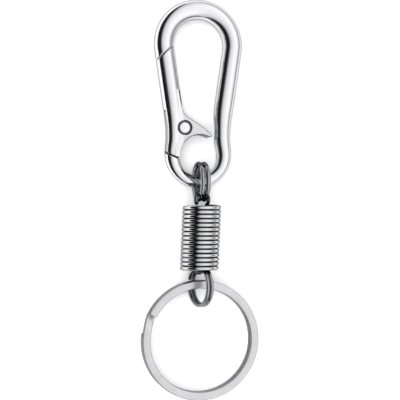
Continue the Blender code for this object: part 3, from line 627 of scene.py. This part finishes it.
for piece in (framePiece, gatePiece):
    piece.data.materials.append(castZincPaintedShade)
    piece.data.materials.append(linishedZinc)
    for face in piece.data.polygons:
        tilt = abs(face.normal.z)
        flat = tilt > sorting["flatTilt"]
        outer = abs(abs(face.center.z - foot.z) / mm - gate["cheek"] / 2) < sorting["cheekRoom"]
        web = piece == gatePiece and onWeb(face.center)
        rim = not flat and tilt > sorting["rimTilt"]
        # Index 1 is the dark as-cast zinc with painted shade, on joint faces, the pin recess and the
        # finger's rim
        if inJoint(face.center) or (web and rim):
            face.material_index = 1
        elif web and (outer or not flat):
            face.material_index = 2
print("carabiner made")


# Pin: a rivet with a low domed head in each cheek

def makePin():
    seat = gate["cheek"] / 2 - pin["recessDeep"] + carabiner["gap"] / 2
    top = seat + pin["headThick"]
    radius = pin["head"] / 2
    steps = pin["steps"]
    profile = [(pin["tipRadius"], top + pin["dome"])]
    for k in range(1, steps + 1):
        fall = 1 - (k / steps) ** 2
        profile.append((radius * pin["domeShare"] * k / steps, top + pin["dome"] * fall))
    for k in range(steps):
        turn = math.radians(90 / steps * (k + 1))
        out = radius - pin["edge"] * (1 - math.sin(turn))
        profile.append((out, top - pin["edge"] * (1 - math.cos(turn))))
    shaft = pin["shaft"] / 2
    profile += [(radius, seat), (shaft + pin["bevel"], seat), (shaft, seat - pin["bevel"])]
    profile += [(r, -h) for r, h in reversed(profile)]
    sections = []
    for r, h in profile:
        turns = [polar(360 * k / pin["sides"], r) for k in range(pin["sides"])]
        sections.append([pivot + turn + Vector((0, 0, h)) for turn in turns])
    return skin("pivotPin", sections, None)


place(makePin(), foot, rivetSteel, "carabiner", "pivot_pin", "rivet")


# Wires

def wireMesh(name, path, diameter, sides, material):
    # A round wire along a path, in metres, its section carried along without twist, ends domed
    sections = []
    lengths = []
    run = 0.0
    side = None
    domeSteps = (0.0, 0.55, 0.85)
    last = len(path) - 1
    for k, centre in enumerate(path):
        ahead = (path[min(k + 1, last)] - path[max(k - 1, 0)]).normalized()
        if side is None:
            side = ahead.orthogonal().normalized()
        side = (side - ahead * side.dot(ahead)).normalized()
        up = ahead.cross(side)
        if k:
            run += (centre - path[k - 1]).length / mm
        rims = [(1.0, 0.0)]
        if k in (0, last):
            sign = -1 if k == 0 else 1
            rims = [(math.sqrt(1 - e * e), sign * e) for e in domeSteps]
            rims = rims[::-1] if k == 0 else rims
        for scale, shift in rims:
            section = []
            for n in range(sides):
                angle = -2 * math.pi * n / sides
                ring = side * math.cos(angle) + up * math.sin(angle)
                section.append(centre + ahead * shift * diameter / 8 + ring * scale * diameter / 2)
            sections.append(section)
            lengths.append(run)
    return skin(name, sections, material, lengths, math.pi * diameter / mm)


# Return spring: a small coil round the rivet, one leg in the tongue and one in the gate

returnSpring = {
    "wire": 0.3, "coil": 2.4, "pitch": 0.38, "turns": 1.5, "gap": 0.1, "leg": 0.25, "stepsPerTurn": 48,
    "sides": 12, "lowSteps": 6, "highSteps": 8,
}


def makeReturnSpring():
    shape = returnSpring
    radius = shape["coil"] / 2
    rise = shape["pitch"] * shape["turns"]
    low = tongue["thick"] / 2 + tongue["sideGap"] - shape["gap"] - rise - shape["wire"] / 2
    legEnd = -tongue["radius"] + shape["leg"]
    path = [Vector((radius, mix(legEnd, 0, k / shape["lowSteps"]), low)) for k in range(shape["lowSteps"])]
    steps = int(shape["turns"] * shape["stepsPerTurn"])
    for k in range(steps + 1):
        height = Vector((0, 0, low + rise * k / steps))
        path.append(polar(360 * shape["turns"] * k / steps, radius) + height)
    topY = tongue["top"] + carabiner["gap"] + shape["leg"] - pivot.y
    count = shape["highSteps"]
    path += [Vector((-radius, topY * k / count, low + rise)) for k in range(1, count + 1)]
    path = [foot + (pivot + p) * mm for p in path]
    piece = wireMesh("gateReturnSpring", path, shape["wire"] * mm, shape["sides"], darkWire)
    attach(piece, "carabiner")
    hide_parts("gate_return_spring")


makeReturnSpring()


# Split rings: a band or a wire wound twice, its front turn stepping to the back one

def roundSection(diameter, sides):
    found = []
    for k in range(sides):
        angle = 2 * math.pi * (k + 0.5) / sides
        found.append((diameter / 2 * math.cos(angle), diameter / 2 * math.sin(angle)))
    return found


def bandSection(width, thick, edge, steps):
    # A flat band with rounded edges
    found = []
    for cornerX, cornerY, start in ((1, 1, 0), (-1, 1, 90), (-1, -1, 180), (1, -1, 270)):
        middle = Vector((cornerX * (width / 2 - edge), cornerY * (thick / 2 - edge), 0))
        for k in range(steps + 1):
            point = middle + polar(start + 90 * k / steps, edge)
            found.append((point.x, point.y))
    return found


def splitRing(name, shape, section, turnDeg, material, centre):
    # Two turns less the step and the end gap, with the first and last bit drawn in to a lip
    total = 720.0 - shape["stepDeg"] - shape["endGapDeg"]
    meanRadius = (shape["diameter"] - shape["width"]) / 2
    layer = shape["thick"] + shape["turnGap"]
    stand = Matrix.Rotation(math.radians(turnDeg), 3, "Y") @ Matrix.Rotation(math.radians(90), 3, "Y")
    matrix = stand if shape["standing"] else Matrix.Identity(3)
    count = int(total / 360 * shape["steps"])
    lip = math.degrees(shape["lip"] / meanRadius)
    turns = [0.0, lip * 0.35, lip]
    turns += [total * k / count for k in range(1, count)]
    turns += [total - lip, total - lip * 0.35, total]
    sections = []
    lengths = []
    for turn in turns:
        shift = smoothStep((turn - 360.0 + shape["stepDeg"]) / shape["stepDeg"])
        height = layer / 2 * (1 - 2 * shift)
        edge = min(turn, total - turn) / lip
        shrink = 1.0 if edge >= 1 else 1 - shape["lip"] / shape["width"] * (1 - edge) ** 2
        radial = polar(shape["endDeg"] - turn)
        loop = []
        for out, up in reversed(section):
            local = radial * (meanRadius + out * shrink) + Vector((0, 0, height + up * shrink))
            loop.append(centre + matrix @ local * mm)
        sections.append(loop)
        lengths.append(math.radians(turn) * meanRadius)
    around = 2 * (shape["width"] + shape["thick"])
    return skin(name, sections, material, lengths, around)


keyRing = {
    "diameter": 30.0, "width": 2.1, "thick": 1.22, "edge": 0.36, "turnGap": 0.14, "endDeg": 152.0,
    "stepDeg": 16.0, "endGapDeg": 4.0, "steps": 220, "lip": 0.12, "standing": False, "edgeSteps": 6,
    "wallTilt": 0.55,
}
linkRing = {
    "turnGap": 0.14, "stepDeg": 22.0, "endGapDeg": 4.0, "steps": 120, "lip": 0.12, "standing": True,
    "sides": 24,
}
upperLink = {**linkRing, "diameter": 10.0, "width": 1.2, "thick": 1.2, "turn": 0.0, "endDeg": 346.0}
lowerLink = {**linkRing, "diameter": 10.45, "width": 0.95, "thick": 0.95, "turn": 14.4, "endDeg": 350.0}

band = bandSection(keyRing["width"], keyRing["thick"], keyRing["edge"], keyRing["edgeSteps"])
ringPiece = splitRing("keyRing", keyRing, band, 0.0, bandSteel, middleOf("key_ring"))
ringPiece.data.materials.append(bandWallPaintedShade)
# Faces that stand up get the darker grey: painted shade on the band's walls
for face in ringPiece.data.polygons:
    face.material_index = 1 if abs(face.normal.z) < keyRing["wallTilt"] else 0
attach(ringPiece, "key_loop_ring")
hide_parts("key_ring")

for name, link, node, body in (
    ("upperLink", upperLink, "upper_split_ring", "upper_ring"),
    ("lowerLink", lowerLink, "lower_split_ring", "lower_ring"),
):
    wire = roundSection(link["width"], link["sides"])
    linkPiece = splitRing(name, link, wire, link["turn"], linkWire, middleOf(node))
    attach(linkPiece, body)
    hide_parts(node)
print("rings made")


# Extension spring: close-wound wire with a hook at each end

spring = {
    "outer": 9.6, "wire": 1.0, "pitch": 1.065, "turns": 14.75, "stepsPerTurn": 40, "planeDeg": 140.0,
    "upperDeg": 215.0, "upperReach": 1.6, "upperRadius": 3.7, "upperDepth": 1.9, "upperRun": 1.4,
    "lowerDeg": 245.0, "lowerReach": 0.58, "lowerRadius": 2.95, "lowerDepth": 1.45, "lowerRun": 2.6,
    "lowerLeadDeg": 90.0, "bendRise": 1.2, "bendSteps": 24, "arcSteps": 48, "sides": 16,
}


def aroundAxis(angleDeg):
    angle = math.radians(angleDeg)
    return Vector((math.sin(angle), 0, math.cos(angle)))


def hookPath(end, onward, centre, side, lift, radius, depth, arcDeg):
    # From the coil's end, which heads onward, to an eye that stands on the coil's axis
    start = centre + side * radius
    path = bezier(end, end + onward, start - lift * spring["bendRise"], start, spring["bendSteps"])[1:]
    for k in range(1, spring["arcSteps"] + 1):
        angle = math.radians(arcDeg) * k / spring["arcSteps"]
        path.append(centre + radius * math.cos(angle) * side + depth * math.sin(angle) * lift)
    return path


def makeSpring():
    shape = spring
    radius = (shape["outer"] - shape["wire"]) / 2
    length = shape["pitch"] * shape["turns"]
    count = int(shape["turns"] * shape["stepsPerTurn"])
    first = shape["planeDeg"] - 360 * shape["turns"]
    coil = []
    for k in range(count + 1):
        t = k / count
        outward = aroundAxis(first + 360 * shape["turns"] * t)
        coil.append(Vector((0, length * (t - 0.5), 0)) + radius * outward)
    up = Vector((0, 1, 0))
    topEye = Vector((0, length / 2 + shape["upperReach"], 0))
    lowEye = Vector((0, -length / 2 + shape["lowerReach"], 0))
    onward = shape["upperRun"] * aroundAxis(shape["planeDeg"] + 90)
    side = aroundAxis(shape["planeDeg"])
    top = hookPath(
        coil[-1], onward, topEye, side, up, shape["upperRadius"], shape["upperDepth"], shape["upperDeg"]
    )
    onward = shape["lowerRun"] * aroundAxis(first - 90)
    side = aroundAxis(first - shape["lowerLeadDeg"])
    low = hookPath(
        coil[0], onward, lowEye, side, -up, shape["lowerRadius"], shape["lowerDepth"], shape["lowerDeg"]
    )
    low.reverse()
    hookTop = Vector(joints["spring_swing"]["pos_m"])
    down = Vector(joints["spring_stretch"]["axis"]).normalized()
    lean = Matrix.Rotation(math.atan2(down.x, -down.y), 3, "Z")
    middle = hookTop + down * (length / 2 + shape["upperReach"]) * mm
    path = [middle + lean @ p * mm for p in low + coil + top]
    piece = wireMesh("extensionSpring", path, shape["wire"] * mm, shape["sides"], springWire)

    # Map of the painted shade: 1 on the coil's outside, 0 at the wire's middle, less on the inside
    groove = piece.data.uv_layers.new(name="groove")
    for loop in piece.data.loops:
        out = piece.data.vertices[loop.vertex_index].co - middle
        out -= down * out.dot(down)
        groove.data[loop.index].uv = ((out.length / mm - radius) / (shape["wire"] / 2), 0)

    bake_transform(piece)
    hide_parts("extension_spring")


makeSpring()
print("spring made")


# Table, light and camera

# Metres and watts. The wall's stops are degrees from overhead to the right, and brightness
studio = {
    "strength": 1.5, "lampSize": 1.2, "lampPower": 15.0, "lampAt": (-0.6, 0.0, 0.8),
    "wall": [
        (-90, 0.01), (-46, 0.012), (-40, 0.09), (-34, 0.28), (-28, 0.46), (-20, 0.61), (-10, 0.72),
        (0, 0.80), (9, 0.84), (22, 0.93), (35, 0.97), (49, 0.92), (58, 0.80), (66, 0.50), (76, 0.36),
        (90, 0.30),
    ],
    "ends": [(0.0, 1.0), (0.6, 1.0), (0.85, 0.8), (1.0, 0.6)],
}


table = {
    "light": "F6F6F6", "dark": "F2F2F2", "mottleMm": 6.0, "roughness": 0.9, "half": 1.5, "below": 0.0002,
}


def makeTable():
    # Pale laminate table top, nearly white and matt, with a very faint mottle
    material = bpy.data.materials.new("paleLaminate")
    material.use_nodes = True
    tree = material.node_tree
    shader = tree.nodes["Principled BSDF"]
    coords = addNode(tree, "ShaderNodeTexCoord").outputs["Object"]
    mottle = addNode(
        tree, "ShaderNodeTexNoise", {"Scale": 1 / (table["mottleMm"] * mm), "Detail": 2.0},
        {"Vector": coords},
    )
    tone = addNode(tree, "ShaderNodeValToRGB", links={"Fac": mottle.outputs["Fac"]})
    tone.color_ramp.elements[0].color = linearColour(table["light"])
    tone.color_ramp.elements[1].color = linearColour(table["dark"])
    tree.links.new(tone.outputs["Color"], shader.inputs["Base Color"])
    shader.inputs["Roughness"].default_value = table["roughness"]
    shader.inputs["Specular IOR Level"].default_value = 0.0
    half = table["half"]
    corners = [(-half, -half, 0), (half, -half, 0), (half, half, 0), (-half, half, 0)]
    mesh = bpy.data.meshes.new("tableTop")
    mesh.from_pydata(corners, [], [(0, 1, 2, 3)])
    mesh.materials.append(material)
    top = bpy.data.objects.new("tableTop", mesh)
    top.location.z = -table["below"]
    scene.collection.objects.link(top)


def fillRamp(node, stops):
    elements = node.color_ramp.elements
    while len(elements) < len(stops):
        elements.new(0.5)
    for element, (position, value) in zip(elements, stops):
        element.position = position
        element.color = (value, value, value, 1)


def makeLight():
    # A white studio tent along the chain, dark through its opening low on the left
    world = bpy.data.worlds.new("studioTent")
    scene.world = world
    world.use_nodes = True
    tree = world.node_tree
    background = tree.nodes["Background"]
    coords = addNode(tree, "ShaderNodeTexCoord").outputs["Generated"]
    split = addNode(tree, "ShaderNodeSeparateXYZ", links={"Vector": coords})
    angle = addNode(
        tree, "ShaderNodeMath", links={0: split.outputs["X"], 1: split.outputs["Z"]}, operation="ARCTAN2"
    )
    turn = addNode(
        tree, "ShaderNodeMapRange", {"From Min": -math.pi, "From Max": math.pi},
        {"Value": angle.outputs["Value"]},
    )
    wall = addNode(tree, "ShaderNodeValToRGB", links={"Fac": turn.outputs["Result"]})
    fillRamp(wall, [((deg + 180) / 360, value) for deg, value in studio["wall"]])
    reach = addNode(tree, "ShaderNodeMath", links={0: split.outputs["Y"]}, operation="ABSOLUTE")
    ends = addNode(tree, "ShaderNodeValToRGB", links={"Fac": reach.outputs["Value"]})
    fillRamp(ends, studio["ends"])
    product = addNode(
        tree, "ShaderNodeVectorMath", links={0: wall.outputs["Color"], 1: ends.outputs["Color"]},
        operation="MULTIPLY",
    )
    tree.links.new(product.outputs["Vector"], background.inputs["Color"])
    background.inputs["Strength"].default_value = studio["strength"]

    # One wide lamp from the left, which lights the table in the shadow of the brighter right
    # wall and leaves no mirror image in the metal
    lamp = bpy.data.lights.new("tableLight", "AREA")
    lamp.shape = "SQUARE"
    lamp.size = studio["lampSize"]
    lamp.energy = studio["lampPower"]
    box = bpy.data.objects.new("tableLight", lamp)
    box.location = studio["lampAt"]
    box.rotation_euler.y = math.atan2(studio["lampAt"][0], studio["lampAt"][2])
    box.visible_glossy = False
    scene.collection.objects.link(box)


view = {"tiltDeg": 15, "distance": 0.25, "aimX": -0.00065, "sensor": 36, "fieldDeg": 22.45}


def makeCamera():
    # Straight over the chain, tilted a little to its left, with the chain upright in the frame
    tilt = math.radians(view["tiltDeg"])
    target = Vector((view["aimX"], 0.0, middleOf("lower_split_ring").z))
    lens = bpy.data.cameras.new("camera")
    lens.sensor_width = view["sensor"]
    lens.lens = view["sensor"] / 2 / math.tan(math.radians(view["fieldDeg"]) / 2)
    lens.clip_start = 0.01
    lens.clip_end = 10
    camera = bpy.data.objects.new("camera", lens)
    back = Vector((-math.sin(tilt), 0, math.cos(tilt)))
    right = Vector((math.cos(tilt), 0, math.sin(tilt)))
    up = Vector((0, 1, 0))
    rows = Matrix((right, up, back)).transposed()
    camera.matrix_world = Matrix.Translation(target + back * view["distance"]) @ rows.to_4x4()
    scene.collection.objects.link(camera)
    scene.camera = camera


makeTable()
makeLight()
makeCamera()
scene.view_settings.view_transform = "Standard"
scene.view_settings.look = "None"
print("studio made")
